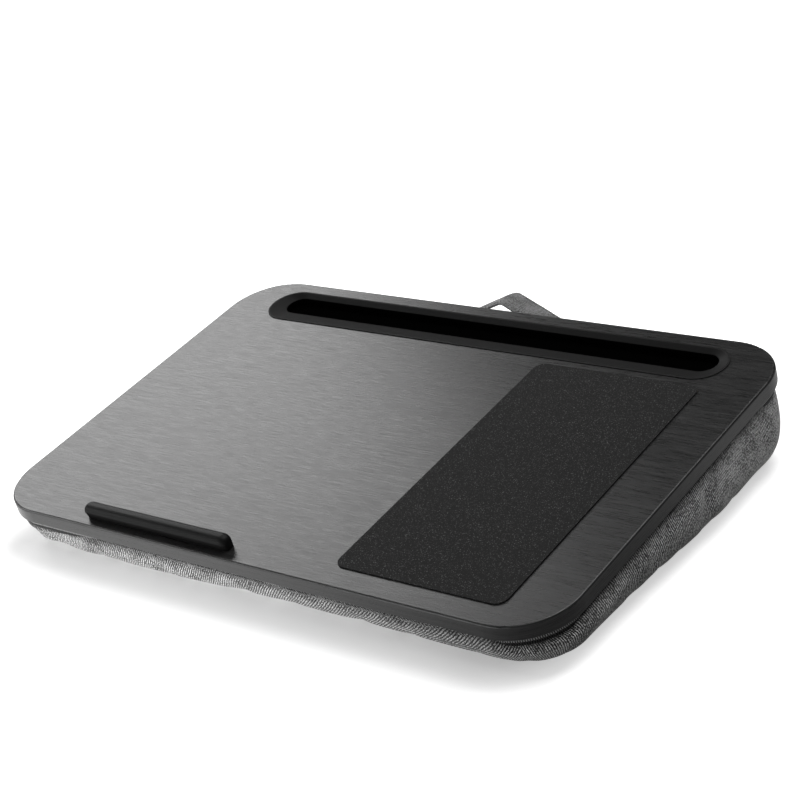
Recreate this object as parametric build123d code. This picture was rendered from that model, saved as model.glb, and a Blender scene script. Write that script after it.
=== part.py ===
from build123d import *
import os
from math import atan2, cos, degrees, radians, sin, sqrt, tan

# Lap tray with cushion. Millimetres.
# Everything is drawn in the board's own frame: X to the right with zero at the middle, Y back from the
# front edge, Z square to the board with zero at its top face. At the end every piece is tilted about X
# by wedge_tilt and set down on the floor, with the origin under the middle of the whole tray.

# Board
board_w = 550.0
board_d = 366.0
board_corner_r = 50.0
core_t = 10.4
top_laminate_t = 0.8
backer_t = 0.8
edge_band_t = 2.2
edge_top_round_r = 1.8
edge_low_round_r = 0.6
board_t = core_t + top_laminate_t + backer_t

# How the board lies over the floor
wedge_tilt = 7.0
front_height = 32.0

# Mouse mat, bonded in a shallow recess
mat_w = 149.0
mat_t = 2.0
mat_corner_r = 9.0
mat_recess = 1.0
mat_front_margin = 21.0
mat_slot_gap = 8.0
mat_right_margin = 47.0
mat_clearance = 0.2

# Device slot: a moulded insert with a bevelled rim and a closed trough
slot_side_margin = 42.0
slot_rim_w = 46.0
slot_rim_proud = 0.7
slot_lip_w = 1.6
slot_seat_w = 1.8
slot_end_bevel = 12.6
slot_hole_w = 24.5
slot_bevel_depth = 3.6
slot_wall = 1.8
slot_floor = 1.2
slot_back_margin = 14.0
slot_hole_back_shift = 6.25
slot_clearance = 0.15

# Stopper ledge along the front
ledge_l = 152.0
ledge_h = 12.0
ledge_foot_w = 9.5
ledge_front_lean = 2.2
ledge_nose_r = 5.0
ledge_back_r = 3.4
ledge_end_r = 4.6
ledge_end_top_r = 6.5
ledge_outline_ease = 0.05
ledge_front_margin = 6.5
ledge_x = -90.0
ledge_screw_count = 3
ledge_screw_spacing = 58.0

# Countersunk screws that hold the ledge from below
screw_d = 3.0
screw_head_d = 6.6
screw_head_h = 1.9
screw_bite = 7.0
screw_clearance = 0.1
screw_drive_w = 2.6
screw_drive_t = 0.7
screw_drive_depth = 0.9

# Zip round the front, the sides and the rear corners
zip_inset = 4.0
zip_coil_w = 1.8
zip_coil_h = 2.4
zip_line_gap = 1.2
zip_tape_t = 0.6
zip_tape_w = 12.0
zip_tape_edge = 0.3
zip_end_clear = 45.0
zip_stop_l = 3.0
zip_stop_w = 2.4
zip_stop_h = 4.6

# Zip slider and its pull, on the straight run down the left side
slider_l = 9.0
slider_h = 5.4
slider_gap = 3.2
slider_plate_t = 0.8
slider_post_l = 1.5
slider_post_h = 0.9
slider_post_inset = 0.6
slider_rear_clear = 12.0
bail_l = 5.2
bail_w = 1.2
bail_t = 0.8
bail_room = 1.3
pull_l = 26.0
pull_w = 5.2
pull_t = 0.9
pull_neck_w = 4.6
pull_eye_w = 2.6
pull_eye_l = 4.6
pull_end_r = 1.8
pull_bar_r = 0.45

# Lining under the board and the fabric hinge along the back
lining_t = 0.9
lining_gap = 0.3
hinge_strip_t = 0.8
hinge_strip_clear = 0.1

# Cushion
cover_t = 1.8
bag_t = 0.8
bulge_front = 0.5
bulge_right = 3.0
bulge_back = 6.0
bulge_left = 0.5
underside_inset = 29.0
side_draw_in = 1.6
crown_gap = 0.6
crown_flat_d = 102.8

# Carry handle: a bent fabric strap on two sewn ends at the rear wall
handle_x = -15.0
handle_half_span = 68.0
handle_peak = 31.5
handle_peak_r = 12.0
handle_t = 5.0
handle_w = 28.0
handle_lean = 80.0
handle_axis_drop = 21.0
handle_wall_gap = 0.6
handle_roll_r = 2.4
handle_roll_clear = 0.3
handle_end_l = 10.0

# One overrun for every cut
overrun = 5.0

# Side form of the cushion from the floor to its rim: shares of the height, then of underside_inset
SIDE_HEIGHT_SHARES = (0.0, 0.06, 0.18, 0.36, 0.58, 0.80, 0.94, 1.0)
SIDE_INSET_SHARES = (1.0, 0.62, 0.34, 0.13, 0.02, 0.0, 0.03, 0.09)
# Crown of the cushion's top: shares of the run from the lining's edge to its flat middle, and of its height
CROWN_STEP_SHARES = (0.0, 0.294, 0.647, 1.0)
CROWN_HEIGHT_SHARES = (0.0, 0.55, 0.88, 1.0)
# Height share of the seam between the side band and the base panel
BASE_SEAM_SHARE = 0.12
# Half of a size, and a quarter of a turn in degrees
half = 0.5
quarter_turn = 90.0

# Levels worked out from the sizes above
underside_z = -board_t
coil_top_z = underside_z - zip_tape_t
zip_line_z = coil_top_z - zip_coil_h - zip_line_gap * half
lower_coil_top_z = zip_line_z - zip_line_gap * half
rim_z = lower_coil_top_z - zip_coil_h - zip_tape_t
crown_z = underside_z - lining_t - crown_gap
tilt_slope = tan(radians(wedge_tilt))
middle_y = board_d * half

# Insets of the zip's tapes, and of all that lies inside them
tape_out = zip_inset - zip_tape_edge
tape_in = tape_out + zip_tape_w
lining_inset = tape_in + lining_gap
crown_run = middle_y - lining_inset - crown_flat_d * half
zip_end_x = board_w * half - board_corner_r - zip_end_clear


def slab(w, d, r, top, bottom, x=0.0, y=0.0):
    """Upright plate with rounded corners, centred on x, y, between two levels."""
    return Pos(x, y, bottom) * extrude(RectangleRounded(w, d, r), top - bottom)


def board_slab(inset, top, bottom):
    """Plate with the board's outline drawn in by inset."""
    width = board_w - inset - inset
    depth = board_d - inset - inset
    return slab(width, depth, board_corner_r - inset, top, bottom, 0.0, middle_y)


def block(x0, x1, y0, y1, z0, z1):
    """Box between two corners."""
    return Pos(x0, y0, z0) * Box(x1 - x0, y1 - y0, z1 - z0, align=(Align.MIN, Align.MIN, Align.MIN))


def stadium(length, width, y, z):
    """Flat face with round ends at a level."""
    return Pos(0.0, y, z) * SlotOverall(length, width)


# Slot length and places
slot_rim_l = board_w - slot_side_margin - slot_side_margin
slot_hole_l = slot_rim_l - slot_end_bevel - slot_end_bevel
slot_y = board_d - slot_back_margin - slot_rim_w * half
slot_hole_y = slot_y + slot_hole_back_shift
slot_bottom_z = -(top_laminate_t + core_t)

# Mouse mat between the front margin and the slot
mat_d = slot_y - slot_rim_w * half - mat_slot_gap - mat_front_margin
mat_x = board_w * half - mat_right_margin - mat_w * half
mat_y = mat_front_margin + mat_d * half


def mat_recess_cut():
    """Shallow pocket for the mouse mat."""
    grow = mat_clearance + mat_clearance
    return slab(mat_w + grow, mat_d + grow, mat_corner_r + mat_clearance, overrun, -mat_recess, mat_x, mat_y)


def slot_cut():
    """Through cut for the slot insert in the laminate and the core."""
    seat = slot_seat_w - slot_clearance
    face = stadium(slot_rim_l - seat - seat, slot_rim_w - seat - seat, slot_y, slot_bottom_z)
    return extrude(face, overrun - slot_bottom_z)


def screw_places():
    """Places of the ledge's screws along X."""
    first = ledge_x - ledge_screw_spacing * (ledge_screw_count - 1) * half
    return [first + ledge_screw_spacing * k for k in range(ledge_screw_count)]


ledge_screw_y = ledge_front_margin + ledge_front_lean + ledge_foot_w * half


def screw_form(shank_r, head_r, head_h, tip_z):
    """Countersunk screw pointing up, its head flush with the board's underside."""
    shank = Pos(0.0, 0.0, underside_z) * Cylinder(
        shank_r, tip_z - underside_z, align=(Align.CENTER, Align.CENTER, Align.MIN)
    )
    head = Pos(0.0, 0.0, underside_z) * Cone(
        head_r, shank_r, head_h, align=(Align.CENTER, Align.CENTER, Align.MIN)
    )
    return shank + head


def screw_holes():
    """Clear holes and countersinks for the ledge's screws."""
    form = screw_form(
        screw_d * half + screw_clearance,
        screw_head_d * half + screw_clearance,
        screw_head_h + screw_clearance,
        screw_bite + screw_clearance,
    )
    return [Pos(x, ledge_screw_y, 0.0) * form for x in screw_places()]


def cut_all(solid, tools):
    """Solid less each tool in turn."""
    for tool in tools:
        solid = solid - tool
    return solid


def make_board():
    """Core, laminates and edge band."""
    core = board_slab(edge_band_t, -top_laminate_t, underside_z + backer_t)
    core = cut_all(core, [slot_cut(), mat_recess_cut(), *screw_holes()])
    top = board_slab(edge_band_t, 0.0, -top_laminate_t)
    top = cut_all(top, [slot_cut(), mat_recess_cut()])
    top = cut_all(top, screw_holes())
    backer = cut_all(board_slab(edge_band_t, underside_z + backer_t, underside_z), screw_holes())
    band = board_slab(0.0, 0.0, underside_z) - board_slab(edge_band_t, overrun, underside_z - overrun)
    levels = band.edges().group_by(Axis.Z)
    band = fillet([e for e in levels[-1] if band_edge_is_outer(e)], edge_top_round_r)
    levels = band.edges().group_by(Axis.Z)
    band = fillet([e for e in levels[0] if band_edge_is_outer(e)], edge_low_round_r)
    return {"board_core": core, "top_laminate": top, "backer_laminate": backer, "edge_band": band}


def band_edge_is_outer(edge):
    """True for an edge of the band that lies on the board's outline."""
    box = edge.bounding_box()
    near = edge_band_t * half
    wide = board_w * half - near
    return max(abs(box.min.X), abs(box.max.X)) > wide or box.min.Y < near or box.max.Y > board_d - near


def make_mat():
    """Mouse mat in its recess."""
    mat = slab(mat_w, mat_d, mat_corner_r, mat_t - mat_recess, -mat_recess, mat_x, mat_y)
    return {"mouse_mat": mat}


def make_slot_insert():
    """Rim with a wide front bevel, and the trough under it."""
    rim = extrude(stadium(slot_rim_l, slot_rim_w, slot_y, 0.0), slot_rim_proud)
    seat_l = slot_rim_l - slot_seat_w - slot_seat_w
    seat_w = slot_rim_w - slot_seat_w - slot_seat_w
    trough_l = slot_hole_l + slot_wall + slot_wall
    trough_w = slot_hole_w + slot_wall + slot_wall
    bevel_out = loft(
        [
            stadium(seat_l, seat_w, slot_y, 0.0),
            stadium(trough_l, trough_w, slot_hole_y, -slot_bevel_depth - slot_wall),
        ],
        ruled=True,
    )
    trough_out = extrude(
        stadium(trough_l, trough_w, slot_hole_y, slot_bottom_z), -slot_bevel_depth - slot_wall - slot_bottom_z
    )
    lip = slot_lip_w + slot_lip_w
    bevel_in = loft(
        [
            stadium(slot_rim_l - lip, slot_rim_w - lip, slot_y, slot_rim_proud),
            stadium(slot_hole_l, slot_hole_w, slot_hole_y, -slot_bevel_depth),
        ],
        ruled=True,
    )
    hole_floor = slot_bottom_z + slot_floor
    hole = extrude(stadium(slot_hole_l, slot_hole_w, slot_hole_y, hole_floor), -slot_bevel_depth - hole_floor)
    return {"slot_insert": rim + bevel_out + trough_out - bevel_in - hole}


def make_ledge():
    """Stopper ledge: round nose and back edge, front leaning in to a narrower foot, ends rounded both ways."""
    foot_front = ledge_front_margin + ledge_front_lean
    back = foot_front + ledge_foot_w
    nose_z = ledge_h - ledge_nose_r
    nose_y = ledge_front_margin + ledge_nose_r
    profile = make_face(
        [
            Line((back, 0.0), (back, ledge_h - ledge_back_r)),
            RadiusArc((back, ledge_h - ledge_back_r), (back - ledge_back_r, ledge_h), -ledge_back_r),
            Line((back - ledge_back_r, ledge_h), (nose_y, ledge_h)),
            RadiusArc((nose_y, ledge_h), (ledge_front_margin, nose_z), -ledge_nose_r),
            Line((ledge_front_margin, nose_z), (foot_front, 0.0)),
            Line((foot_front, 0.0), (back, 0.0)),
        ]
    )
    bar = Plane.YZ * extrude(profile, ledge_l + overrun + overrun)
    ledge = Pos(ledge_x - ledge_l * half - overrun, 0.0, 0.0) * bar
    outline = slab(
        ledge_l,
        back - ledge_front_margin + ledge_outline_ease + ledge_outline_ease,
        ledge_end_r,
        ledge_h + overrun,
        -overrun,
        ledge_x,
        (back + ledge_front_margin) * half,
    )
    ease = ledge_outline_ease
    front_h = ledge_h + ledge_h + ease + ease
    front_view = RectangleRounded(ledge_l + ease + ease, front_h, ledge_end_top_r)
    reach = extrude(Plane.XZ * front_view, back + overrun, both=True)
    ledge = ledge & outline & (Pos(ledge_x, 0.0, 0.0) * reach)
    ledge = cut_all(ledge, screw_holes())
    return {"stopper_ledge": ledge}


def make_screws():
    """Ledge screws with a crossed drive in each head."""
    screw = screw_form(screw_d * half, screw_head_d * half, screw_head_h, screw_bite)
    for turn in (0.0, quarter_turn):
        slot = Pos(0.0, 0.0, underside_z) * Rot(0.0, 0.0, turn) * Box(
            screw_drive_w, screw_drive_t, screw_drive_depth, align=(Align.CENTER, Align.CENTER, Align.MIN)
        )
        screw = screw - slot
    return {"ledge_screws": [Pos(x, ledge_screw_y, 0.0) * screw for x in screw_places()]}


def zip_ring(outer_inset, inner_inset, top, bottom, end_x):
    """Flat ring along the zip, open along the back between -end_x and end_x."""
    ring = board_slab(outer_inset, top, bottom) - board_slab(inner_inset, top + overrun, bottom - overrun)
    gap = block(
        -end_x, end_x, board_d - board_corner_r, board_d + overrun, bottom - overrun, top + overrun
    )
    return ring - gap


def make_zip():
    """Two tapes, two coil halves and the end stops."""
    coil_out = zip_inset - zip_coil_w * half
    coil_in = zip_inset + zip_coil_w * half
    tape_end = zip_end_x - zip_stop_l
    upper_tape = zip_ring(tape_out, tape_in, underside_z, coil_top_z, tape_end)
    upper_coil = zip_ring(coil_out, coil_in, coil_top_z, coil_top_z - zip_coil_h, zip_end_x)
    lower_coil = zip_ring(coil_out, coil_in, lower_coil_top_z, lower_coil_top_z - zip_coil_h, zip_end_x)
    lower_tape = zip_ring(tape_out, tape_in, rim_z + zip_tape_t, rim_z, tape_end)
    stop_y = board_d - zip_inset
    stop_foot = rim_z + zip_tape_t
    stop = Box(zip_stop_l, zip_stop_w, zip_stop_h, align=(Align.MIN, Align.CENTER, Align.MIN))
    stops = [Pos(x, stop_y, stop_foot) * stop for x in (tape_end, -zip_end_x)]
    return {
        "zip_tape_upper": upper_tape,
        "zip_coil_upper": upper_coil,
        "zip_coil_lower": lower_coil,
        "zip_tape_lower": lower_tape,
        "zip_end_stops": stops,
    }


# Slider place: the rear end of the straight left run
slider_x = -board_w * half + zip_inset
slider_y = board_d - board_corner_r - slider_rear_clear
plate_face_x = slider_x - slider_gap * half - slider_plate_t
pull_axis_x = plate_face_x - bail_room * half


def make_slider():
    """Two plates joined by a post between the coils, with a bail on the outer plate."""
    plate = Box(slider_plate_t, slider_l, slider_h)
    reach = (slider_gap + slider_plate_t) * half
    post_y = slider_l * half - slider_post_inset - slider_post_l * half
    post = Pos(0.0, post_y, 0.0) * Box(slider_gap, slider_post_l, slider_post_h)
    body = Pos(-reach, 0.0, 0.0) * plate + Pos(reach, 0.0, 0.0) * plate + post
    body = Pos(slider_x, slider_y, zip_line_z) * body
    arch_out = Box(bail_room + bail_t, bail_l, bail_w, align=(Align.MAX, Align.CENTER, Align.CENTER))
    arch_in = Box(
        bail_room, bail_l - bail_t - bail_t, bail_w + overrun, align=(Align.MAX, Align.CENTER, Align.CENTER)
    )
    bail = Pos(plate_face_x, slider_y, zip_line_z) * (arch_out - arch_in)
    return {"zip_slider": body + bail}


def make_pull():
    """Flat pull with a round bar held under the slider's bail, lying forward along the zip."""
    bar = Cylinder(pull_bar_r, pull_neck_w)
    grip = Pos(0.0, -pull_l, 0.0) * Box(
        pull_t, pull_l - pull_eye_l, pull_w, align=(Align.CENTER, Align.MIN, Align.CENTER)
    )
    grip = fillet(grip.edges().filter_by(Axis.X).group_by(Axis.Y)[0], pull_end_r)
    rail_w = (pull_neck_w - pull_eye_w) * half
    rail_z = (pull_eye_w + rail_w) * half
    rail = Box(pull_t, pull_eye_l, rail_w, align=(Align.CENTER, Align.MAX, Align.CENTER))
    pull = bar + grip + Pos(0.0, 0.0, rail_z) * rail + Pos(0.0, 0.0, -rail_z) * rail
    return {"zip_pull": Pos(pull_axis_x, slider_y, zip_line_z) * pull}


def make_lining():
    """Fabric lining under the board, inside the zip tape, and the hinge strip along the back."""
    lining = board_slab(lining_inset, underside_z, underside_z - lining_t)
    strip_half = zip_end_x - zip_stop_l - lining_gap
    strip_y = board_d - zip_inset
    strip = block(
        -strip_half,
        strip_half,
        strip_y - hinge_strip_t * half,
        strip_y + hinge_strip_t * half,
        rim_z,
        underside_z - hinge_strip_clear,
    )
    return {"board_lining": lining, "hinge_strip": strip}


def section(left, right, front, back, corner, sag, z_front, z_back):
    """Closed outline on a plane tilted about X, its sides drawn in by sag and its corners round."""
    mid_y = (front + back) * half
    mid_z = (z_front + z_back) * half
    run = sqrt((back - front) ** 2 + (z_back - z_front) ** 2)
    tilt = degrees(atan2(z_back - z_front, back - front))
    u0 = left
    u1 = right
    v0 = -run * half
    v1 = run * half
    mid_u = (u0 + u1) * half
    wire = [
        ThreePointArc((u0 + corner, v0), (mid_u, v0 + sag), (u1 - corner, v0)),
        RadiusArc((u1 - corner, v0), (u1, v0 + corner), -corner),
        ThreePointArc((u1, v0 + corner), (u1 - sag, 0.0), (u1, v1 - corner)),
        RadiusArc((u1, v1 - corner), (u1 - corner, v1), -corner),
        ThreePointArc((u1 - corner, v1), (mid_u, v1 - sag), (u0 + corner, v1)),
        RadiusArc((u0 + corner, v1), (u0, v1 - corner), -corner),
        ThreePointArc((u0, v1 - corner), (u0 + sag, 0.0), (u0, v0 + corner)),
        RadiusArc((u0, v0 + corner), (u0 + corner, v0), -corner),
    ]
    return Pos(0.0, mid_y, mid_z) * Rot(tilt, 0.0, 0.0) * make_face(wire)


def floor_z(y):
    """Level of the floor in the board's frame."""
    return underside_z - front_height - y * tilt_slope


def side_section(height_share, inset_share, skin):
    """Section of the cushion's side at a share of its height, inside a skin of the given thickness."""
    pull_in = underside_inset * inset_share + skin
    left = -board_w * half - bulge_left + pull_in
    right = board_w * half + bulge_right - pull_in
    front = -bulge_front + pull_in
    back = board_d + bulge_back - pull_in
    levels = []
    for y in (front, back):
        low = floor_z(y) + skin / cos(radians(wedge_tilt))
        high = rim_z - skin
        levels.append(low + (high - low) * height_share)
    corner = board_corner_r - pull_in
    return section(left, right, front, back, corner, side_draw_in, levels[0], levels[1])


def pillow(skin):
    """Closed form of the cushion inside a skin: side from the floor to the rim, then the crown."""
    sides = loft([side_section(h, i, skin) for h, i in zip(SIDE_HEIGHT_SHARES, SIDE_INSET_SHARES)])
    rise = crown_z - rim_z
    corner = board_corner_r - lining_inset - skin
    steps = []
    for across, up in zip(CROWN_STEP_SHARES, CROWN_HEIGHT_SHARES):
        inset = lining_inset + skin + crown_run * across
        outline = RectangleRounded(board_w - inset - inset, board_d - inset - inset, corner)
        steps.append(Pos(0.0, middle_y, rim_z - skin + rise * up) * outline)
    crown = loft(steps, ruled=True)
    return sides + crown


def half_space(z_front, z_back):
    """Big block below a plane that passes through a front and a back level."""
    tilt = degrees(atan2(z_back - z_front, board_d))
    size = board_w + board_w
    slab_below = Box(size, size, size, align=(Align.CENTER, Align.CENTER, Align.MAX))
    return Pos(0.0, middle_y, (z_front + z_back) * half) * Rot(tilt, 0.0, 0.0) * slab_below


def make_cushion():
    """Cover in three panels, inner bag in two, and the filling."""
    outer = pillow(0.0)
    inner = pillow(cover_t)
    core = pillow(cover_t + bag_t)
    cover = outer - inner
    bag = inner - core
    seam = []
    for y in (0.0, board_d):
        low = floor_z(y)
        seam.append(low + (rim_z - low) * BASE_SEAM_SHARE)
    below_seam = half_space(seam[0], seam[1])
    below_top = half_space(rim_z - cover_t, rim_z - cover_t)
    below_bag_seam = half_space(rim_z - cover_t - bag_t, rim_z - cover_t - bag_t)
    return outer, {
        "cover_base_panel": cover & below_seam,
        "cover_side_band": (cover - below_seam) & below_top,
        "cover_top_panel": cover - below_top,
        "inner_bag_lower": bag & below_bag_seam,
        "inner_bag_upper": bag - below_bag_seam,
        "cushion_filling": core,
    }


# Handle axis: behind the rear wall of the cushion
handle_axis_y = board_d + bulge_back + handle_w * half + handle_wall_gap
handle_axis_z = underside_z - handle_axis_drop


def handle_face(span, peak, peak_r, foot):
    """Triangle with a round peak, standing on a foot line."""
    slope = peak / span
    face = make_face(
        Polyline(
            (-span + foot / slope, foot), (span - foot / slope, foot), (0.0, peak), close=True
        )
    )
    return fillet(face.vertices().sort_by(Axis.Y)[-1], peak_r)


def make_handle(cushion):
    """Bent strap on a fold line at its foot, and the two sewn ends that carry it."""
    slant = atan2(handle_peak, handle_half_span)
    foot = handle_roll_r + handle_roll_clear
    outer = handle_face(handle_half_span, handle_peak, handle_peak_r, foot)
    inner = handle_face(
        handle_half_span - handle_t / sin(slant),
        handle_peak - handle_t / cos(slant),
        handle_peak_r - handle_t,
        foot,
    )
    strap = extrude(outer - inner, handle_w * half, both=True)
    strap = Pos(handle_x, handle_axis_y, handle_axis_z) * Rot(handle_lean, 0.0, 0.0) * strap
    roll = Rot(0.0, quarter_turn, 0.0) * Cylinder(handle_roll_r, handle_end_l)
    web = Box(
        handle_end_l, handle_w, handle_roll_r + handle_roll_r, align=(Align.CENTER, Align.MAX, Align.CENTER)
    )
    end_form = Pos(handle_x, handle_axis_y, handle_axis_z) * (roll + web)
    end_x = handle_half_span - (handle_t / sin(slant) + foot / tan(slant)) * half
    ends = [Pos(x, 0.0, 0.0) * end_form - cushion for x in (-end_x, end_x)]
    return {"handle_strap": strap, "handle_sewn_ends": ends}


def export_all(pieces):
    """Tilts every piece to the floor, centres the tray and writes one file a node."""
    tilted = {}
    for name, shape in pieces.items():
        items = shape if isinstance(shape, list) else [shape]
        tilted[name] = [s for item in items for s in (Rot(wedge_tilt, 0.0, 0.0) * item).solids()]
    boxes = [solid.bounding_box() for solids in tilted.values() for solid in solids]
    shift_x = -(min(b.min.X for b in boxes) + max(b.max.X for b in boxes)) * half
    shift_y = -(min(b.min.Y for b in boxes) + max(b.max.Y for b in boxes)) * half
    shift_z = -min(b.min.Z for b in boxes)
    os.makedirs("parts", exist_ok=True)
    for name, solids in tilted.items():
        moved = [Pos(shift_x, shift_y, shift_z) * solid for solid in solids]
        shape = Compound(children=moved) if len(moved) > 1 else moved[0]
        export_step(shape, f"parts/{name}.step")
    return shift_x, shift_y, shift_z


def floor_point(x, y, z, shift):
    """Place of a point of the board's frame once the tray stands on the floor."""
    a = radians(wedge_tilt)
    return (x + shift[0], y * cos(a) - z * sin(a) + shift[1], y * sin(a) + z * cos(a) + shift[2])


cushion_form, cushion_parts = make_cushion()
pieces = {
    **make_board(),
    **make_mat(),
    **make_slot_insert(),
    **make_ledge(),
    **make_screws(),
    **make_zip(),
    **make_slider(),
    **make_pull(),
    **make_lining(),
    **cushion_parts,
    **make_handle(cushion_form),
}
shift = export_all(pieces)
print("shift", [round(v, 3) for v in shift])
for label, point in {
    "lid axis": (0.0, board_d, underside_z),
    "handle axis": (handle_x, handle_axis_y, handle_axis_z),
    "slider": (slider_x, slider_y, zip_line_z),
    "pull axis": (pull_axis_x, slider_y, zip_line_z),
    "slot hole middle, top": (0.0, slot_hole_y, 0.0),
    "slot hole middle, floor": (0.0, slot_hole_y, slot_bottom_z + slot_floor),
    "base middle": (0.0, middle_y, floor_z(middle_y)),
}.items():
    print(label, [round(v, 3) for v in floor_point(*point, shift)])
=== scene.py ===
import math

import bmesh
import bpy
from mathutils import Matrix, Vector, noise


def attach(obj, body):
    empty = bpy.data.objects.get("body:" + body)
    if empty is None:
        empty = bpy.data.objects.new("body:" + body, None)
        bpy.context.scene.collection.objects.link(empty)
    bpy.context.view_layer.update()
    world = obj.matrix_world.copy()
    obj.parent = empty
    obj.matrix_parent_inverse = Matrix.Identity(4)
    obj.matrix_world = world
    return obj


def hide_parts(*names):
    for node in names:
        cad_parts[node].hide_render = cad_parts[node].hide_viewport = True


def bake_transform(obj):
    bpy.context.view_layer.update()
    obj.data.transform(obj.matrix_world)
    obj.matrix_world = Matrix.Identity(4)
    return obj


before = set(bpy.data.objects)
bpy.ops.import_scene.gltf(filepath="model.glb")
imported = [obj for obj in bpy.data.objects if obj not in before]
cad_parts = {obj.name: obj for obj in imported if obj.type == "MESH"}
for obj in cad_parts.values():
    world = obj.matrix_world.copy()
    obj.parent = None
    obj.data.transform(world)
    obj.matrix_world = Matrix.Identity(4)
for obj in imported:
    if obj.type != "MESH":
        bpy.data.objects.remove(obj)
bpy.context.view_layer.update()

# Lap tray with cushion. Shapes are drawn in millimetres in the board's own frame, X from its middle, Y back
# from its front edge and Z square to it with zero at its top, and are then set on the floor in metres.
MM = 0.001
BOARD_TILT = math.radians(7.0)
BOARD_SHIFT = Vector((-1.25, -201.756, 43.697)) * MM
TO_FLOOR = Matrix.Translation(BOARD_SHIFT) @ Matrix.Rotation(BOARD_TILT, 4, "X")
# Level of the board's top once object coordinates are turned level with it
TOP_LEVEL = 0.067959

# Board outline and levels
HALF_W = 275.0
DEPTH = 366.0
CORNER_R = 50.0
UNDERSIDE_Z = -12.0
RIM_Z = -19.2
FRONT_HEIGHT = 32.0

# Cushion
BULGE_FRONT, BULGE_RIGHT, BULGE_BACK, BULGE_LEFT = 0.5, 2.6, 6.0, 0.5
CORNER_BULGE = -2.2
SIDE_DRAW_IN = 1.6
LEAST_CORNER_R = 6.0
# Draw of the lower side at the front, near its left end, at the right's front and rear, and at the left
TUCK_FRONT, TUCK_LEAST, TUCK_RIGHT, TUCK_REAR, TUCK_LEFT = 5.5, 2.5, 5.0, -2.0, 4.0
# Draw of the rim at the front left corner, along the front, and elsewhere
RIM_TUCK_LEFT, RIM_TUCK_FRONT, RIM_TUCK = 6.0, 2.2, 0.8
# Shares of the height over which the two draws fade and grow; farthest in that an upper row is drawn
TUCK_FADE, RIM_TUCK_RISE = (0.42, 0.86), (0.2, 0.8)
OPEN_ROW_MOST = 4.5

# Zip
ZIP_INSET = 4.0
ZIP_PITCH = 1.7
ZIP_END_X = 180.0
TAPE_OUT, TAPE_IN = 3.7, 15.7
TAPE_END = 3.0
# One tooth in metres: its size, bevel and lean
TOOTH = (0.0008, 0.0021, 0.0034)
TOOTH_BEVEL, TOOTH_LEAN = 0.00025, 0.12


def on_floor(x, y, z):
    """Place on the floor frame, in metres, of a point of the board's frame in millimetres."""
    return TO_FLOOR @ Vector((x * MM, y * MM, z * MM))


def ease(low, high, value):
    """0 below low, 1 above high, smooth between."""
    t = held((value - low) / (high - low))
    return t * t * (3.0 - 2.0 * t)


def mix(a, b, t):
    return a + (b - a) * t


def held(value):
    """The value kept between 0 and 1."""
    return min(max(value, 0.0), 1.0)


# Outline columns: places round the board that every ring of cloth and tape is built on

STRAIGHTS = (
    ("front", (-1, -1), (1, -1), (0, -1), 84),
    ("right", (1, -1), (1, 1), (1, 0), 50),
    ("back", (1, 1), (-1, 1), (0, 1), 84),
    ("left", (-1, 1), (-1, -1), (-1, 0), 50),
)
CORNER_COLUMNS = 14


def outline_columns():
    """Columns of the front, right, back and left, each side followed by the corner after it."""
    columns = []
    run = 0.0
    for side, start, end, normal, count in STRAIGHTS:
        length = 2 * (HALF_W - CORNER_R) if side in ("front", "back") else DEPTH - 2 * CORNER_R
        for k in range(count):
            t = k / count
            columns.append(dict(side=side, start=start, end=end, t=t, out=normal, run=run + length * t))
        run += length
        arc = CORNER_R * math.pi / 2
        first = math.atan2(normal[1], normal[0])
        for k in range(CORNER_COLUMNS):
            t = k / CORNER_COLUMNS
            angle = first + t * math.pi / 2
            out = (math.cos(angle), math.sin(angle))
            columns.append(dict(side=side + "_corner", start=end, end=end, t=t, out=out, run=run + arc * t))
        run += arc
    return columns, run


COLUMNS, PERIMETER = outline_columns()
AROUND = len(COLUMNS)


def ring_place(column, inset):
    """Point of a column on the board's outline drawn in by inset."""
    r = max(CORNER_R - inset, LEAST_CORNER_R)
    reach = (HALF_W - inset - r, DEPTH / 2 - inset - r)
    start, end, out, t = (column[key] for key in ("start", "end", "out", "t"))
    x, y = (mix(start[i], end[i], t) * reach[i] + out[i] * r for i in (0, 1))
    return x, y + DEPTH / 2


def bulged(column, inset, share):
    """The same point, moved out by the cushion's bulge and in by the draw of its sides."""
    x, y = ring_place(column, inset)
    across = held(x / (HALF_W - CORNER_R) / 2 + 0.5)
    back = held((y - CORNER_R) / (DEPTH - 2 * CORNER_R))
    right = mix(BULGE_RIGHT, CORNER_BULGE, ease(215.0, 305.0, y))
    rear = mix(BULGE_BACK, CORNER_BULGE, ease(110.0, 215.0, abs(x)))
    x += share * mix(-BULGE_LEFT, right, across)
    y += share * mix(-BULGE_FRONT, rear, back)
    if not column["side"].endswith("corner"):
        draw = share * SIDE_DRAW_IN * 4 * column["t"] * (1 - column["t"])
        x -= column["out"][0] * draw
        y -= column["out"][1] * draw
    return x, y


def tuck(column):
    """How far the lower part of the side is drawn in under the board, beyond the plain profile."""
    side, t = column["side"], column["t"]
    if side == "front":
        return mix(mix(TUCK_FRONT, TUCK_LEAST, ease(0.0, 0.12, t)), TUCK_FRONT, ease(0.3, 0.55, t))
    if side == "front_corner":
        return mix(TUCK_FRONT, TUCK_RIGHT, t)
    if side == "right":
        y = mix(CORNER_R, DEPTH - CORNER_R, t)
        return mix(TUCK_RIGHT, TUCK_REAR, ease(60.0, 265.0, y)) * (1 - ease(260.0, 316.0, y))
    if side == "left":
        return TUCK_LEFT * ease(0.5, 1.0, t)
    if side == "left_corner":
        return mix(TUCK_LEFT, TUCK_FRONT, ease(0.0, 0.7, t))
    return 0.0


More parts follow.
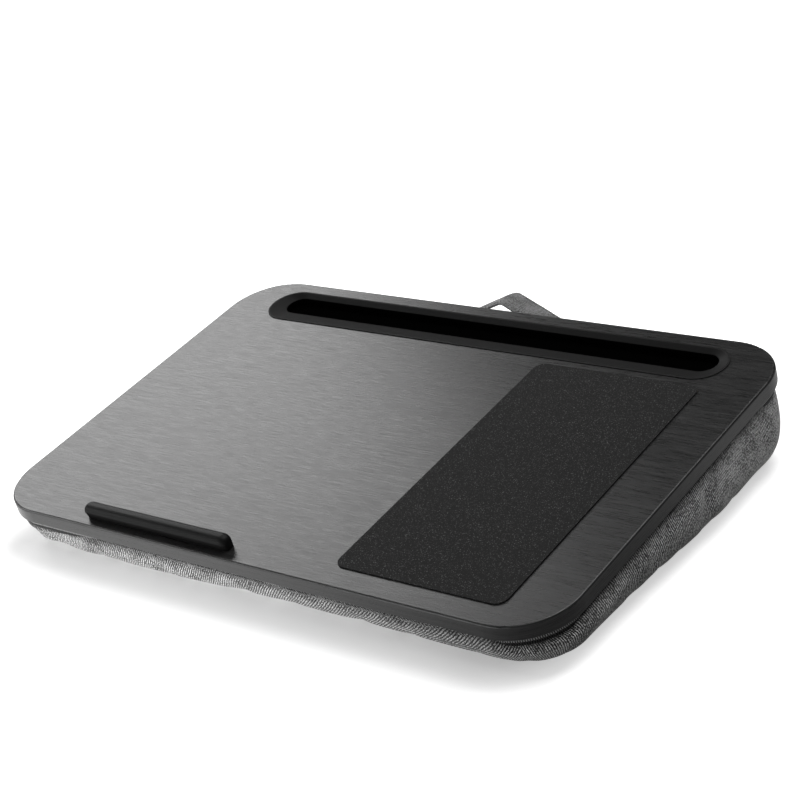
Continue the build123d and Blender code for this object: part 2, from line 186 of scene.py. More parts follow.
def rim_tuck(column):
    """How far the rim is drawn in under the board, most at the front left corner."""
    side, t = column["side"], column["t"]
    if side == "left":
        return RIM_TUCK_LEFT * ease(0.6, 1.0, t)
    if side == "left_corner":
        return RIM_TUCK_LEFT
    if side == "front":
        return mix(RIM_TUCK_LEFT, RIM_TUCK_FRONT, ease(0.02, 0.16, t))
    if side == "front_corner":
        return mix(RIM_TUCK_FRONT, RIM_TUCK, t)
    return RIM_TUCK


def floor_level(y):
    """Level of the floor in the board's frame."""
    return UNDERSIDE_Z - FRONT_HEIGHT - y * math.tan(BOARD_TILT)


def zip_shows(column):
    """1 where the cover lies below the zip, 0 where it puffs up and hides it."""
    side, t = column["side"], column["t"]
    if side == "front":
        x = mix(-1, 1, t) * (HALF_W - CORNER_R)
        return 1 - ease(-212, -145, x)
    if side == "front_corner":
        return ease(0.06, 0.22, t) * (1 - ease(0.8, 0.97, t))
    if side == "right":
        return ease(0.965, 1.0, t)
    return 1.0


# Meshes

def linked(name, data):
    """New object of the scene with that data."""
    made = bpy.data.objects.new(name, data)
    bpy.context.collection.objects.link(made)
    return made


def smooth_shaded(mesh):
    mesh.polygons.foreach_set("use_smooth", [True] * len(mesh.polygons))


def facing_out(obj):
    """Turns every face of a closed piece outwards."""
    form = bmesh.new()
    form.from_mesh(obj.data)
    bmesh.ops.recalc_face_normals(form, faces=form.faces[:])
    form.to_mesh(obj.data)
    form.free()
    return obj


def ring_faces(first_row, last_row, count):
    """Quads between closed rows of count places each."""
    faces = []
    for row in range(first_row, last_row):
        for k in range(count):
            a, b = row * count + k, row * count + (k + 1) % count
            faces.append((a, b, b + count, a + count))
    return faces


def swept_faces(rows, count):
    """Faces of a closed form swept through rows of count places each."""
    ends = [tuple(range(count)), tuple(reversed(range((rows - 1) * count, rows * count)))]
    return ring_faces(0, rows - 1, count) + ends


def belongs(piece, body, slot, *nodes):
    """Attaches a piece to the body that it rides on and hides the nodes that it stands for; slot is not used.
    """
    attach(piece, body)
    if nodes:
        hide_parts(*nodes)


def piece_from(name, verts, faces, corner_uvs=None, smooth=True):
    """New object from places in metres, with a uv for each face corner."""
    mesh = bpy.data.meshes.new(name)
    mesh.from_pydata([tuple(v) for v in verts], [], faces)
    if corner_uvs:
        layer = mesh.uv_layers.new(name="cloth")
        flat = [value for face in corner_uvs for uv in face for value in uv]
        layer.data.foreach_set("uv", flat)
    if smooth:
        smooth_shaded(mesh)
    mesh.update()
    return linked(name, mesh)


def swept_piece(name, verts, rows, uvs=None, smooth=True):
    """Closed piece swept through rows of places, its faces outwards."""
    return facing_out(piece_from(name, verts, swept_faces(rows, len(verts) // rows), uvs, smooth))


def settled(obj):
    """Swaps the object's mesh for its evaluated one and takes its modifiers off."""
    graph = bpy.context.evaluated_depsgraph_get()
    mesh = bpy.data.meshes.new_from_object(obj.evaluated_get(graph), depsgraph=graph)
    obj.modifiers.clear()
    if obj.type == "MESH":
        obj.data = mesh
        return obj
    name = obj.name
    made = linked(name, mesh)
    bpy.data.objects.remove(obj)
    made.name = name
    return made


def subdivided(obj):
    """Settles the piece with one subdivision."""
    smooth = obj.modifiers.new("smooth", "SUBSURF")
    smooth.levels = smooth.render_levels = 1
    return settled(obj)


def finished(obj, material):
    obj.data.materials.clear()
    obj.data.materials.append(material)
    return obj


# Shader helpers

def add(tree, kind, values=None, **settings):
    """New node with its settings, and its inputs set or linked by name or number."""
    made = tree.nodes.new(kind)
    for key, value in settings.items():
        setattr(made, key, value)
    for key, value in (values or {}).items():
        socket = made.inputs[key]
        if isinstance(value, bpy.types.NodeSocket):
            tree.links.new(value, socket)
        else:
            socket.default_value = value
    return made


def maths(tree, operation, *values, clamp=False):
    values = dict(enumerate(values))
    return add(tree, "ShaderNodeMath", values, operation=operation, use_clamp=clamp).outputs[0]


def vectors(tree, operation, *values):
    return add(tree, "ShaderNodeVectorMath", dict(enumerate(values)), operation=operation).outputs[0]


def between(tree, low, high, value):
    """Smooth mask from 0 at low to 1 at high."""
    values = {"Value": value, "From Min": low, "From Max": high}
    return add(tree, "ShaderNodeMapRange", values, interpolation_type="SMOOTHSTEP").outputs[0]


def axis(tree, place, number):
    """One of the three parts of a vector."""
    return add(tree, "ShaderNodeSeparateXYZ", {0: place}).outputs[number]


def speckle(tree, place, scale, detail, roughness=0.5, output="Fac"):
    """Noise on a place."""
    values = {"Vector": place, "Scale": scale, "Detail": detail, "Roughness": roughness}
    return add(tree, "ShaderNodeTexNoise", values).outputs[output]


def bands(tree, place, scale, distortion, detail_scale, direction):
    """Wave bands that follow one another along X or Y of a place."""
    values = {"Vector": place, "Scale": scale, "Distortion": distortion, "Detail": 2.0,
              "Detail Scale": detail_scale, "Detail Roughness": 0.6}
    return add(tree, "ShaderNodeTexWave", values, bands_direction=direction).outputs["Fac"]


def blend_colour(tree, share, a, b):
    return add(tree, "ShaderNodeMix", {0: share, 6: a, 7: b}, data_type="RGBA").outputs[2]


def grey(value):
    return (value, value, value, 1.0)


def new_group(name, inputs, outputs):
    """Empty shader group of a place and the named values; gives the tree, what goes in and what comes out."""
    tree = bpy.data.node_groups.new(name, "ShaderNodeTree")
    tree.interface.new_socket("Place", in_out="INPUT", socket_type="NodeSocketVector")
    for labels, side in ((inputs, "INPUT"), (outputs, "OUTPUT")):
        for label in labels:
            tree.interface.new_socket(label, in_out=side, socket_type="NodeSocketFloat")
    return tree, tree.nodes.new("NodeGroupInput").outputs, tree.nodes.new("NodeGroupOutput").inputs


def placed(tree, group, values):
    return add(tree, "ShaderNodeGroup", values, node_tree=group)


def new_material(name, **principled):
    """Material of one Principled shader with its values; gives it, its tree and what feeds a socket."""
    material = bpy.data.materials.new(name)
    material.use_nodes = True
    tree = material.node_tree
    sockets = tree.nodes["Principled BSDF"].inputs
    for key, value in principled.items():
        sockets[key.replace("_", " ")].default_value = value
    return material, tree, lambda label, value: tree.links.new(value, sockets[label])


def bumped(tree, feed, height, distance):
    bump = add(tree, "ShaderNodeBump", {"Height": height, "Distance": distance, "Strength": 1.0})
    feed("Normal", bump.outputs[0])


def board_place(tree):
    """Object coordinates turned back level with the board."""
    place = add(tree, "ShaderNodeTexCoord").outputs["Object"]
    turn = add(tree, "ShaderNodeMapping", {"Vector": place, "Rotation": (-BOARD_TILT, 0.0, 0.0)})
    return turn.outputs[0]


# Groups used by more than one material

def make_twill_group():
    """Diagonal ribs of heather yarn: rib height and light yarn, on a place across and along the ribs."""
    tree, given, out = new_group("twill", ("Pitch", "Wander"), ("Rib", "Yarn"))
    place, pitch = given["Place"], given["Pitch"]
    wave_scale = maths(tree, "DIVIDE", math.pi / 10, pitch)
    ribs = bands(tree, place, wave_scale, given["Wander"], 1.6, "X")
    cross = bands(tree, place, maths(tree, "MULTIPLY", wave_scale, 1.25), 5.0, 1.9, "Y")
    rib = maths(tree, "MULTIPLY_ADD", ribs, 0.72, maths(tree, "MULTIPLY", cross, 0.28))
    tree.links.new(rib, out["Rib"])
    along_ribs = vectors(tree, "MULTIPLY", place, (1.0, 0.5, 1.0))
    yarn = speckle(tree, along_ribs, maths(tree, "DIVIDE", 1.7, pitch), 2.0, 0.65)
    drift = speckle(tree, place, 55.0, 1.0)
    uneven = maths(tree, "MULTIPLY_ADD", yarn, 0.8, maths(tree, "MULTIPLY", drift, 0.2))
    tree.links.new(between(tree, 0.41, 0.59, uneven), out["Yarn"])
    return tree


def make_grain_group():
    """Brushed woodgrain: broad and fine streaks along X of the place given."""
    tree, given, out = new_group("brushed grain", ("Across",), ("Broad", "Fine"))
    place, across = given["Place"], given["Across"]
    stretch = add(tree, "ShaderNodeCombineXYZ", {0: 5.0, 1: across, 2: across}).outputs[0]
    long_place = vectors(tree, "MULTIPLY", place, stretch)
    sway = speckle(tree, place, 5.0, 0.0, output="Color")
    swayed = vectors(tree, "ADD", long_place, vectors(tree, "MULTIPLY", sway, (0.0, 1.0, 1.0)))
    broad = speckle(tree, swayed, 0.42, 3.0, 0.6)
    fine = speckle(tree, vectors(tree, "MULTIPLY", swayed, (5.0, 1.0, 1.0)), 2.1, 2.0, 0.7)
    tree.links.new(between(tree, 0.3, 0.7, broad), out["Broad"])
    tree.links.new(between(tree, 0.28, 0.72, fine), out["Fine"])
    return tree


def make_fleck_group():
    """Matt grain: fine uneven height and sparse light flecks."""
    tree, given, out = new_group("flecks", ("Scale",), ("Height", "Fleck"))
    place, scale = given["Place"], given["Scale"]
    tree.links.new(speckle(tree, place, scale, 2.0, 0.7), out["Height"])
    sparse = speckle(tree, place, maths(tree, "MULTIPLY", scale, 0.45), 1.0)
    tree.links.new(between(tree, 0.6, 0.74, sparse), out["Fleck"])
    return tree


TWILL = make_twill_group()
GRAIN = make_grain_group()
FLECKS = make_fleck_group()


# Finishes; levels are metres under the board's top

# Depths under the board's top between which the cover's painted shade fades out
PAINTED_SHADE_FROM, PAINTED_SHADE_TO = 0.025, 0.012
# Depths under the board's top between which painted shade turns the slot's trough black
TROUGH_SHADE_FROM, TROUGH_SHADE_TO = 0.003, 0.0042
HEATHER_WANDER, PLAIN_WANDER = 3.0, 0.6
PLASTIC_TEXTURE, PLASTIC_LIFT = 2200.0, 0.00003


def heather_cloth(name, dark, light, pitch, painted_shade=False):
    """Heather twill on a piece's own uv, in metres; if asked, painted shade darkens it close under the board.
    """
    material, tree, feed = new_material(name, Roughness=0.92, Sheen_Weight=0.25, Sheen_Roughness=0.5)
    uv = add(tree, "ShaderNodeUVMap", uv_map="cloth").outputs[0]
    twill = placed(tree, TWILL, {"Place": uv, "Pitch": pitch, "Wander": HEATHER_WANDER})
    rib, yarn = twill.outputs["Rib"], twill.outputs["Yarn"]
    broken = maths(tree, "MULTIPLY_ADD", yarn, 1.1, 0.08)
    share = maths(tree, "MULTIPLY", between(tree, 0.38, 0.66, rib), broken, clamp=True)
    colour = blend_colour(tree, share, dark, light)
    if painted_shade:
        # Painted shade: close under the board the colour is drawn towards the dark yarn
        level = axis(tree, board_place(tree), 2)
        clear = between(tree, TOP_LEVEL - PAINTED_SHADE_TO, TOP_LEVEL - PAINTED_SHADE_FROM, level)
        colour = blend_colour(tree, maths(tree, "MULTIPLY_ADD", clear, 0.75, 0.25), dark, colour)
    feed("Base Color", colour)
    bumped(tree, feed, rib, 0.0004)
    return material


def plain_cloth(name, dark, light, pitch):
    """Plain dark weave on object coordinates."""
    material, tree, feed = new_material(name, Roughness=0.9, Sheen_Weight=0.15, Sheen_Roughness=0.5)
    twill = placed(tree, TWILL, {"Place": board_place(tree), "Pitch": pitch, "Wander": PLAIN_WANDER})
    feed("Base Color", blend_colour(tree, twill.outputs["Rib"], dark, light))
    bumped(tree, feed, twill.outputs["Rib"], 0.0001)
    return material


def woodgrain_laminate(name, dark, light, side_faces):
    """Charcoal brushed woodgrain; on side faces the streaks follow the edge and the right bevel is dull."""
    shine = 0.5 if side_faces else 0.4
    material, tree, feed = new_material(name, Specular_IOR_Level=shine)
    place = board_place(tree)
    if side_faces:
        normal = add(tree, "ShaderNodeTexCoord").outputs["Normal"]
        up, right = axis(tree, normal, 2), axis(tree, normal, 0)
        on_bevel = maths(tree, "MULTIPLY", between(tree, 0.3, 0.6, up), between(tree, 0.2, 0.5, right))
        dulled = maths(tree, "MULTIPLY_ADD", on_bevel, -0.44, shine)
        feed("Specular IOR Level", dulled)
        side_place = vectors(tree, "MULTIPLY", place, (1.0, 1.0 / 60.0, 1.0))
        values = {0: between(tree, 0.85, 0.45, up), 4: place, 5: side_place}
        place = add(tree, "ShaderNodeMix", values, data_type="VECTOR").outputs[1]
    grain = placed(tree, GRAIN, {"Place": place, "Across": 900.0})
    broad, fine = grain.outputs["Broad"], grain.outputs["Fine"]
    share = maths(tree, "MULTIPLY", maths(tree, "ADD", broad, fine), 0.5)
    feed("Base Color", blend_colour(tree, share, dark, light))
    feed("Roughness", maths(tree, "MULTIPLY_ADD", fine, 0.14, 0.25))
    bumped(tree, feed, share, 0.000014)
    return material


def moulded_plastic(name, colour, roughness, texture=PLASTIC_TEXTURE, lift=PLASTIC_LIFT, specular=0.5):
    """Satin moulded plastic with a fine eroded texture."""
    material, tree, feed = new_material(name, Roughness=roughness, Specular_IOR_Level=specular)
    height = placed(tree, FLECKS, {"Place": board_place(tree), "Scale": texture}).outputs["Height"]
    brighter = tuple(c * 1.25 for c in colour[:3]) + (1.0,)
    tone = blend_colour(tree, between(tree, 0.2, 0.8, height), colour, brighter)
    feed("Base Color", tone)
    bumped(tree, feed, height, lift)
    return material


def slot_plastic():
    """Satin moulded plastic; inside the trough painted shade turns it near black, and its shine is taken off
    there.
    """
    material, tree, feed = new_material("slot plastic", Roughness=0.62)
    place = board_place(tree)
    painted_trough_shade = between(tree, TOP_LEVEL - TROUGH_SHADE_FROM, TOP_LEVEL - TROUGH_SHADE_TO, axis(tree, place, 2))
    # Painted shade: the trough's inside is drawn near black
    tone = blend_colour(tree, painted_trough_shade, grey(0.007), grey(0.0006))
    feed("Base Color", tone)
    shine = maths(tree, "MULTIPLY_ADD", painted_trough_shade, -0.12, 0.12)
    feed("Specular IOR Level", shine)
    flecks = placed(tree, FLECKS, {"Place": place, "Scale": PLASTIC_TEXTURE})
    bumped(tree, feed, flecks.outputs["Height"], PLASTIC_LIFT)
    return material


def mat_rubber():
    """Matt black rubber with a fine grain and sparse light flecks."""
    material, tree, feed = new_material("mat rubber", Roughness=0.85, Specular_IOR_Level=0.22)
    flecks = placed(tree, FLECKS, {"Place": board_place(tree), "Scale": 2600.0})
    height = flecks.outputs["Height"]
    base = blend_colour(tree, between(tree, 0.25, 0.75, height), grey(0.0035), grey(0.008))
    speck = maths(tree, "MULTIPLY", flecks.outputs["Fleck"], 0.55)
    feed("Base Color", blend_colour(tree, speck, base, grey(0.14)))
    bumped(tree, feed, height, 0.00012)
    return material


def brushed_metal(name, colour, roughness, metallic):
    """Metal or enamel with fine brush marks."""
    material, tree, feed = new_material(name, Metallic=metallic)
    fine = placed(tree, GRAIN, {"Place": board_place(tree), "Across": 1500.0}).outputs["Fine"]
    feed("Roughness", maths(tree, "MULTIPLY_ADD", fine, 0.1, roughness))
    darker = tuple(c * 0.85 for c in colour[:3]) + (1.0,)
    feed("Base Color", blend_colour(tree, fine, darker, colour))
    return material


LAMINATE = woodgrain_laminate("laminate", grey(0.004), grey(0.021), False)
EDGING = woodgrain_laminate("edging", grey(0.008), grey(0.03), True)
COVER = heather_cloth("cover heather", grey(0.004), grey(0.82), 0.0018, painted_shade=True)
STRAP = heather_cloth("strap heather", grey(0.005), grey(0.5), 0.0015)
LINING = plain_cloth("lining", grey(0.012), grey(0.03), 0.0009)
TAPE = plain_cloth("zip tape", grey(0.006), grey(0.018), 0.0007)
BAG = plain_cloth("bag cloth", grey(0.55), grey(0.75), 0.0008)
FILLING = moulded_plastic("loose filling", grey(0.75), 0.9, 300.0, 0.001)
MAT = mat_rubber()
SLOT = slot_plastic()
LEDGE = moulded_plastic("ledge plastic", grey(0.006), 0.46, specular=0.1)
# The coil is black nylon: the upper row is painted light grey as painted glints, and the lower row is its
# darker copy, painted shade
COIL_PAINTED_GLINTS = moulded_plastic("zip coil", grey(0.34), 0.28)
COIL_PAINTED_SHADE = moulded_plastic("zip coil below", grey(0.025), 0.4)
FIBREBOARD = moulded_plastic("fibreboard", (0.42, 0.31, 0.2, 1.0), 0.9, 900.0)
BACKER = moulded_plastic("backer", grey(0.05), 0.7)
STEEL = brushed_metal("screw steel", grey(0.5), 0.3, 1.0)
ENAMEL = brushed_metal("black enamel", grey(0.03), 0.32, 0.6)
THREAD = moulded_plastic("thread", grey(0.03), 0.8)

CAD_FINISHES = {
    "top_laminate": LAMINATE,
    "edge_band": EDGING,
    "board_core": FIBREBOARD,
    "backer_laminate": BACKER,
    "mouse_mat": MAT,
    "slot_insert": SLOT,
    "ledge_screws": STEEL,
    "zip_end_stops": ENAMEL,
    "zip_slider": ENAMEL,
    "zip_pull": ENAMEL,
}


def finish_cad_nodes():
    """Gives each CAD node that stays its finish, on the object's own slots."""
    for node, material in CAD_FINISHES.items():
        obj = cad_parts[node]
        if not obj.material_slots:
            obj.data.materials.append(None)
        for slot in obj.material_slots:
            slot.link = "OBJECT"
            slot.material = material


# Cushion: one closed form of rings, blown up as cloth and then parted into its panels

BASE_INSETS = (158.0, 130.0, 104.0, 80.0, 62.0, 50.0)
SIDE_ROWS = (
    (0.0, 29.0), (0.025, 23.5), (0.06, 18.0), (0.11, 13.8), (0.18, 9.9), (0.27, 6.4),
    (0.36, 3.8), (0.47, 2.0), (0.58, 0.6), (0.69, 0.15), (0.80, 0.0),
)
# Upper rows: share of the bulge, then inset and level, as share of the height or as level, below a zip that
# shows and over one that the cover hides
UPPER_ROWS = (
    (0.95, (0.3, 0.88), (1.5, 0.9)),
    (0.8, (0.9, 0.94), (1.8, -18.2)),
    (0.55, (1.9, -19.35), (2.2, -15.6)),
    (0.35, (2.7, -19.3), (2.8, -13.8)),
    (0.15, (3.4, -19.35), (3.3, -14.7)),
    (0.05, (4.4, -19.4), (3.6, -17.4)),
    (0.0, (5.2, -19.45), (5.2, -19.45)),
)
TOP_RINGS = (
    (9.0, -19.45), (15.9, -19.4), (22.0, -18.65), (30.0, -17.9), (40.0, -17.0), (52.0, -16.05),
    (66.0, -15.4), (82.0, -14.6), (100.0, -14.2), (120.0, -13.85), (140.0, -13.65), (158.0, -13.6),
)
PINNED_UPPER_ROWS = 4
PANEL_LEAN = {"front": 40.0, "right": -12.0, "back": 40.0, "left": -12.0}
# Column of each corner, counted from its start, that the seam between two panels runs up
SEAM_COLUMN = {"front_corner": 4, "right_corner": 7, "back_corner": 7, "left_corner": 7}
CLOTH_FRAMES = 16
# Farthest that the cloth run may move a place
CLOTH_CAP = 0.8
CLOTH_SETTINGS = dict(
    quality=6, mass=0.25, tension_stiffness=12.0, compression_stiffness=8.0, bending_stiffness=0.3,
    use_pressure=True, uniform_pressure_force=3.0, vertex_group_mass="held", pin_stiffness=1.0,
    shrink_min=-0.03, shrink_max=-0.03,
)
# Gathers by the zip and soft waves: depth, and their lengths along and up the side
GATHER, GATHER_RUN, GATHER_RISE = 0.7, 10.0, 9.0
WAVE, WAVE_RUN, WAVE_RISE = 0.25, 42.0, 7.0
PUCKER_HEIGHT = 12.0
NOTCH_X, NOTCH_HALF_W, NOTCH_DEPTH = 28.0, 3.6, 2.6
SEAM_DEPTH, SEAM_TOP = 0.7, 0.85
# Walls of the cover in metres; how far the inner bag and the filling lie inside it
COVER_WALL, TOP_WALL = 0.0012, 0.0008
BAG_DEPTH, FILLING_DEPTH = 2.0, 2.8


def level_of(value, y):
    """A level: given as it is when below zero, or as a share of the height from floor to rim."""
    return value if value < 0 else mix(floor_level(y), RIM_Z, value)


def cushion_rings():
    """Rings of places in the board's frame, from the middle of the base up and over to the top's middle."""
    rings = []
    for inset in BASE_INSETS:
        row = [bulged(c, inset, 1.0) for c in COLUMNS]
        rings.append([(x, y, floor_level(y)) for x, y in row])
    for share, inset in SIDE_ROWS:
        row = []
        for c in COLUMNS:
            drawn = tuck(c) * (1 - ease(*TUCK_FADE, share)) + rim_tuck(c) * ease(*RIM_TUCK_RISE, share)
            x, y = bulged(c, inset + drawn, 1.0)
            row.append((x, y, level_of(share, y)))
        rings.append(row)
    for bulge, (open_in, open_z), (puff_in, puff_z) in UPPER_ROWS:
        row = []
        for c in COLUMNS:
            shows = zip_shows(c)
            drawn_in = min(open_in + rim_tuck(c), max(open_in, OPEN_ROW_MOST))
            x, y = bulged(c, mix(puff_in, drawn_in, shows), bulge)
            row.append((x, y, mix(level_of(puff_z, y), level_of(open_z, y), shows)))
        rings.append(row)
    for inset, level in TOP_RINGS:
        rings.append([(*ring_place(c, inset), level) for c in COLUMNS])
    return rings


def cap_faces(row, facing_up):
    """Quads that close a ring, from each column to the one that mirrors it from front to back."""
    half = AROUND // 2
    total = next(i for i, c in enumerate(COLUMNS) if c["side"] == "back_corner")
    last = total // 2
    faces = []
    for i in range(last - half, last):
        loop = [i % AROUND, (i + 1) % AROUND, (total - i - 1) % AROUND, (total - i) % AROUND]
        loop = [row * AROUND + k for n, k in enumerate(loop) if k not in loop[:n]]
        faces.append(tuple(loop if facing_up else reversed(loop)))
    return faces


def closed_faces(rows):
    """Faces of a whole closed form of that many rows."""
    return ring_faces(0, rows - 1, AROUND) + cap_faces(0, False) + cap_faces(rows - 1, True)


def blown_up(rings):
    """The closed form after a short cloth run under pressure, as places in the board's frame."""
    places = [on_floor(*p) for row in rings for p in row]
    pad = piece_from("cushion_form", places, closed_faces(len(rings)))
    pinned = pad.vertex_groups.new(name="held")
    first_free = len(BASE_INSETS)
    last_free = first_free + len(SIDE_ROWS) + len(UPPER_ROWS) - PINNED_UPPER_ROWS
    for row in range(len(rings)):
        weight = 0.0 if first_free <= row < last_free else 1.0
        pinned.add(list(range(row * AROUND, (row + 1) * AROUND)), weight, "REPLACE")
    cloth = pad.modifiers.new("cloth", "CLOTH")
    for key, value in CLOTH_SETTINGS.items():
        setattr(cloth.settings, key, value)
    cloth.settings.effector_weights.gravity = 0.0
    cloth.point_cache.frame_start = 1
    cloth.point_cache.frame_end = CLOTH_FRAMES
    for number in range(1, CLOTH_FRAMES + 1):
        bpy.context.scene.frame_set(number)
    settled(pad)
    moved = []
    cap = CLOTH_CAP * MM
    for start, vertex in zip(places, pad.data.vertices):
        shift = vertex.co - start
        moved.append(start + shift * (cap / max(shift.length, cap)))
    bpy.data.objects.remove(pad)
    bpy.context.scene.frame_set(1)
    return moved


def corner_step(column):
    return round(column["t"] * CORNER_COLUMNS)


def puckered(places, rings):
    """Adds the cover's gathers by the zip, its soft waves, its seams and the notch at the front."""
    first = len(BASE_INSETS)
    side_rows = len(SIDE_ROWS) + len(UPPER_ROWS) - 2
    turn = TO_FLOOR.to_3x3()
    for row in range(first + 1, first + side_rows):
        up = (row - first) / side_rows
        gather = GATHER * ease(0.3, 0.75, up) * (1 - ease(0.9, 1.0, up))
        wave = WAVE * ease(0.0, 0.2, up) * (1 - ease(0.75, 1.0, up))
        height = up * PUCKER_HEIGHT
        for k, column in enumerate(COLUMNS):
            run = column["run"]
            push = gather * noise.noise(Vector((run / GATHER_RUN, height / GATHER_RISE, 3.1)))
            push += wave * noise.noise(Vector((run / WAVE_RUN, height / WAVE_RISE, 8.4)))
            if column["side"] == "front":
                off = (rings[row][k][0] - NOTCH_X) / NOTCH_HALF_W
                push -= NOTCH_DEPTH * math.exp(-(off ** 2)) * ease(0.35, 0.8, up)
            if SEAM_COLUMN.get(column["side"]) == corner_step(column) and up < SEAM_TOP:
                push -= SEAM_DEPTH
            out = turn @ Vector((*column["out"], 0.0))
            places[row * AROUND + k] = places[row * AROUND + k] + out * (push * MM)
    for place in places:
        place.z = max(place.z, 0.0)
    return places


def panel_of(column):
    """Panel that a column belongs to: the seams are at the middle of the corners."""
    order = ("front", "right", "back", "left")
    side = column["side"].split("_")[0]
    if corner_step(column) >= SEAM_COLUMN.get(column["side"], CORNER_COLUMNS + 1):
        side = order[(order.index(side) + 1) % 4]
    return side


def cloth_uvs(places, first_row, last_row):
    """A uv for each face corner, in metres across and along the ribs of the panel that the face is on."""
    runs = [c["run"] * MM for c in COLUMNS] + [PERIMETER * MM]
    rise = [[0.0] * AROUND]
    for row in range(first_row + 1, last_row + 1):
        step = [(places[row * AROUND + k] - places[(row - 1) * AROUND + k]).length for k in range(AROUND)]
        rise.append([below + s for below, s in zip(rise[-1], step)])
    uvs = []
    for row in range(first_row, last_row):
        for k in range(AROUND):
            lean = math.radians(PANEL_LEAN[panel_of(COLUMNS[k])])
            sine, cosine = math.sin(lean), math.cos(lean)
            corners = []
            for r, c in ((row, k), (row, k + 1), (row + 1, k + 1), (row + 1, k)):
                u, v = runs[c], rise[r - first_row][c % AROUND]
                corners.append((u * cosine - v * sine, u * sine + v * cosine))
            uvs.append(corners)
    return uvs


def panel_piece(name, places, first_row, last_row, material, thickness, low_cap):
    """One panel of the cover cut from the closed form, with its thickness inwards and one subdivision."""
    rows = last_row - first_row
    kept = places[first_row * AROUND:(last_row + 1) * AROUND]
    caps = cap_faces(0, False) if low_cap else cap_faces(rows, True)
    uvs = cloth_uvs(places, first_row, last_row)
    uvs += [[(kept[i].x, kept[i].y) for i in loop] for loop in caps]
    panel = piece_from(name, kept, ring_faces(0, rows, AROUND) + caps, uvs)
    wall = panel.modifiers.new("wall", "SOLIDIFY")
    wall.thickness = thickness
    wall.offset = -1.0
    return finished(subdivided(panel), material)


def shrunk_copy(name, places, depth, material):
    """Closed inner form: the cushion's rings without the fold under the zip, drawn in by depth all round."""
    fold = len(BASE_INSETS) + len(SIDE_ROWS)
    kept = places[:fold * AROUND] + places[(fold + len(UPPER_ROWS) + 1) * AROUND:]
    form = piece_from(name, kept, closed_faces(len(kept) // AROUND))
    normals = [v.normal.copy() for v in form.data.vertices]
    for vertex, normal in zip(form.data.vertices, normals):
        vertex.co -= normal * (depth * MM)
    form.data.update()
    return finished(form, material)


def make_cushion():
    rings = cushion_rings()
    places = puckered(blown_up(rings), rings)
    side_top = len(BASE_INSETS) + len(SIDE_ROWS) + len(UPPER_ROWS) - 1
    cover = panel_piece("cushion_cover", places, 0, side_top, COVER, COVER_WALL, True)
    top = panel_piece("cushion_top_panel", places, side_top, len(rings) - 1, LINING, TOP_WALL, False)
    bag = shrunk_copy("inner_bag", places, BAG_DEPTH, BAG)
    filling = shrunk_copy("soft_filling", places, FILLING_DEPTH, FILLING)
    belongs(cover, "cushion", "cover_fabric", "cover_side_band", "cover_base_panel")
    belongs(top, "cushion", "lining_fabric", "cover_top_panel")
    belongs(bag, "cushion", "bag_fabric", "inner_bag_lower", "inner_bag_upper")
    belongs(filling, "cushion", "filling", "cushion_filling")


# Stopper ledge

LEDGE_X = -90.0
LEDGE_L = 152.0
LEDGE_END = 6.0
LEDGE_MIDDLE_Y = 13.2
# Share of its width and of its height that the ledge keeps at the very end
LEDGE_LEAST_W, LEDGE_LEAST_H = 0.45, 0.62
LEDGE_TURNS = (4, 14, 26, 38, 52, 66, 78, 90)


def ledge_profile():
    """Places (y, z) round the ledge's section, from its front foot over the top to its back foot."""
    profile = [(8.7, 0.0), (8.1, 1.9), (7.5, 3.8), (6.9, 5.8)]
    for y, z, r, first, last in ((11.5, 7.0, 5.0, 180, 90), (13.6, 7.4, 4.6, 90, 0)):
        for k in range(9):
            a = math.radians(mix(first, last, k / 8))
            profile.append((y + r * math.cos(a), z + r * math.sin(a)))
    return profile + [(18.2, 4.5), (18.2, 2.0), (18.2, 0.0)]


def make_ledge():
    """Ledge with domed ends: one section carried along X and drawn in over the last few millimetres."""
    profile = ledge_profile()
    turns = [math.radians(a) for a in LEDGE_TURNS]
    stations = [(-LEDGE_L / 2 + LEDGE_END * (1 - math.cos(a)), math.sin(a)) for a in turns]
    stations += [(-x, size) for x, size in reversed(stations)]
    verts = []
    for x, size in stations:
        wide, high = mix(LEDGE_LEAST_W, 1.0, size), mix(LEDGE_LEAST_H, 1.0, size)
        for y, z in profile:
            verts.append(on_floor(LEDGE_X + x, LEDGE_MIDDLE_Y + (y - LEDGE_MIDDLE_Y) * wide, z * high))
    ledge = finished(swept_piece("ledge", verts, len(stations)), LEDGE)
    belongs(ledge, "board", "ledge_plastic", "stopper_ledge")


# Zip: tapes, and teeth set along the zip line by one tree

def zip_columns():
    """Columns of the zip from its right end round the front to its left end."""
    start = next(i for i, c in enumerate(COLUMNS) if c["side"] == "back")
    around = [COLUMNS[(start - k) % AROUND] for k in range(1, AROUND)]
    others = [c for c in around if c["side"] != "back"]
    back = [(ring_place(c, 0.0)[0], c) for c in COLUMNS if c["side"] == "back"]
    right = [c for x, c in back if x > ZIP_END_X]
    left = [c for x, c in back if x < -ZIP_END_X]
    return right[::-1] + others + left[::-1]


